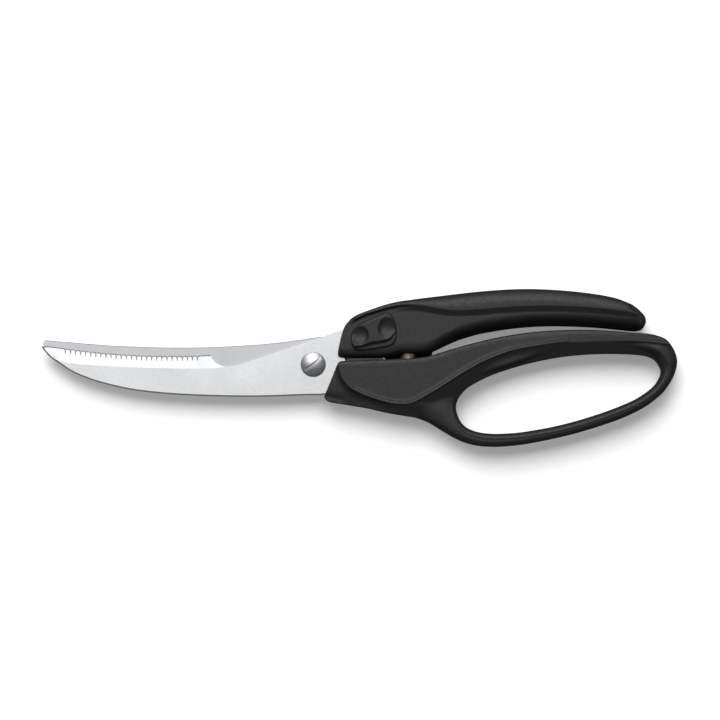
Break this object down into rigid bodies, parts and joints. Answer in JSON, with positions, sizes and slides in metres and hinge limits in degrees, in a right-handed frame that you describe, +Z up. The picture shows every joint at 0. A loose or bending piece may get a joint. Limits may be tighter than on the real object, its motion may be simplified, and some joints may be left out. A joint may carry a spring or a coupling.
{
  "type": "poultry shears",
  "caption": "Spring-opened poultry shears with curved blades, a serrated front edge with a bone notch, a straight handle with a thumb lock and a loop handle.",
  "frame": {"origin": "middle of the bounding box's underside, on the surface that the closed shears lie on", "axes": "+X from the blade tips to the handles, +Y from the loop handle to the straight handle, +Z up, from the back to the side with the screw head"},
  "size_m": [0.25, 0.0622, 0.0164],
  "materials": {
    "blade_steel": "satin ground stainless steel, brighter on the ground bevel",
    "polished_steel": "polished stainless steel",
    "hidden_steel": "plain spring and pressed steel",
    "spring_bronze": "bronze-coloured tempered strip",
    "black_polyamide": "black moulded polyamide, fine matte grain"
  },
  "bodies": {
    "rear_half": {"rear_blade": "blade_steel", "loop_handle": "black_polyamide", "pivot_screw": "polished_steel", "pivot_washer": "hidden_steel", "pivot_nut": "polished_steel", "opening_spring": "spring_bronze"},
    "front_half": {"front_blade": "blade_steel", "straight_handle": "black_polyamide", "lock_detent_strip": "hidden_steel"},
    "thumb_lock": {"lock_slider": "black_polyamide", "lock_bolt": "hidden_steel", "lock_rivet": "hidden_steel"}
  },
  "joints": [
    {"name": "blade_pivot", "type": "hinge", "parent": "rear_half", "child": "front_half", "pos_m": [-0.01809, 0.00134, 0.0075], "axis": [0, 0, 1], "range_deg": [0, 35], "deforming": ["opening_spring"]},
    {"name": "lock_slide", "type": "slide", "parent": "front_half", "child": "thumb_lock", "axis": [0.9563, 0.2924, 0], "range_m": [0, 0.004]}
  ]
}
